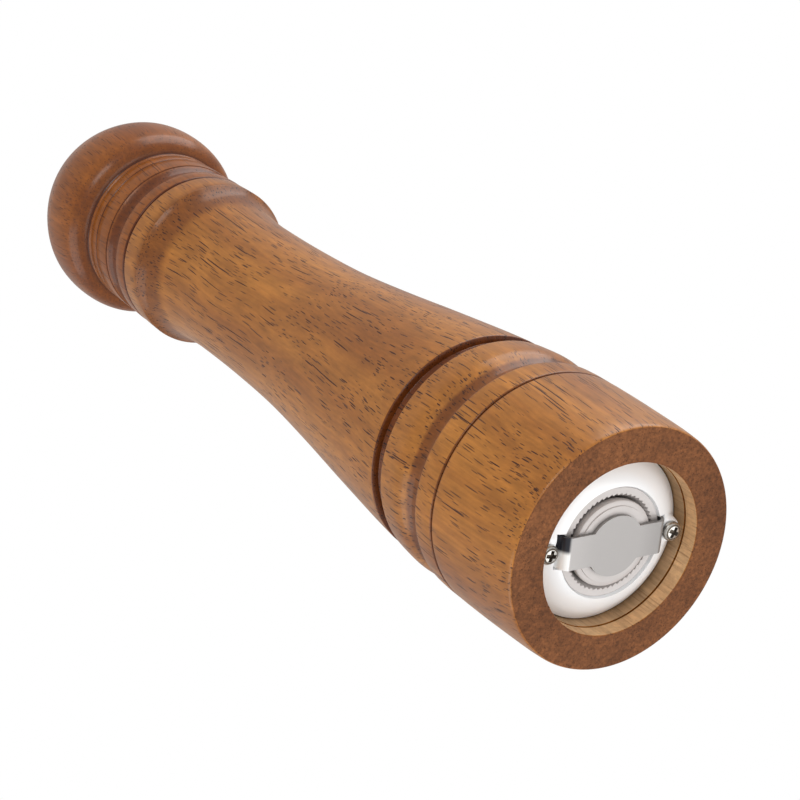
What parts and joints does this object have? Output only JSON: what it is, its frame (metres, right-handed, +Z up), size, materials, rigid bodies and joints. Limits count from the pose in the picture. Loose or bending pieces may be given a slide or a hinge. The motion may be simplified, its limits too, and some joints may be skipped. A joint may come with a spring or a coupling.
{
  "type": "pepper mill",
  "caption": "Turned wooden pepper mill with a mushroom head, ceramic grinder in the recessed base, square drive shaft and knurled adjusting nut.",
  "frame": {"origin": "centre of the flat underside of the base ring, on the turning axis", "axes": "+Z up the turning axis to the adjusting nut, +X along the grinder's strap to one plate screw, +Y across the strap"},
  "size_m": [0.0578, 0.0578, 0.254],
  "materials": {
    "body": "satin lacquer",
    "base_ring": "satin lacquer, bare end grain below",
    "head": "satin lacquer",
    "mechanism_plate": "polished",
    "plate_screw_1": "zinc plated",
    "plate_screw_2": "zinc plated",
    "bridge_strap": "satin",
    "stator": "matte",
    "rotor": "matte",
    "stator_housing": "matte",
    "rotor_hub": "matte",
    "retaining_clip": "oiled",
    "adjuster_spring": "drawn wire",
    "thrust_washer": "plain",
    "drive_shaft": "drawn",
    "drive_plate": "plain",
    "drive_screw_1": "zinc plated",
    "drive_screw_2": "zinc plated",
    "nut_washer": "plain",
    "top_nut": "polished"
  },
  "bodies": {
    "body_unit": {"body": "body", "base_ring": "base_ring", "mechanism_plate": "mechanism_plate", "plate_screw_1": "plate_screw_1", "plate_screw_2": "plate_screw_2", "bridge_strap": "bridge_strap", "stator": "stator", "stator_housing": "stator_housing"},
    "drive_core": {"thrust_washer": "thrust_washer"},
    "shaft_unit": {"drive_shaft": "drive_shaft", "rotor": "rotor", "rotor_hub": "rotor_hub", "retaining_clip": "retaining_clip", "adjuster_spring": "adjuster_spring"},
    "head_unit": {"head": "head", "drive_plate": "drive_plate", "drive_screw_1": "drive_screw_1", "drive_screw_2": "drive_screw_2", "nut_washer": "nut_washer"},
    "nut": {"top_nut": "top_nut"}
  },
  "joints": [
    {"name": "grind_turn", "type": "hinge", "parent": "body_unit", "child": "drive_core", "pos_m": [0, 0, 0.19], "axis": [0, 0, 1], "continuous": true},
    {"name": "grind_gap", "type": "slide", "parent": "drive_core", "child": "shaft_unit", "axis": [0, 0, 1], "range_m": [0, 0.0016], "deforming": ["adjuster_spring"]},
    {"name": "head_lift", "type": "slide", "parent": "drive_core", "child": "head_unit", "axis": [0, 0, 1], "range_m": [0, 0.1]},
    {"name": "nut_turn", "type": "hinge", "parent": "head_unit", "child": "nut", "pos_m": [0, 0, 0.25], "axis": [0, 0, 1], "range_deg": [-720, 0]}
  ],
  "couplings": [
    {"joint": "nut_turn", "follows": "grind_gap", "rad_per_m": -7854}
  ]
}
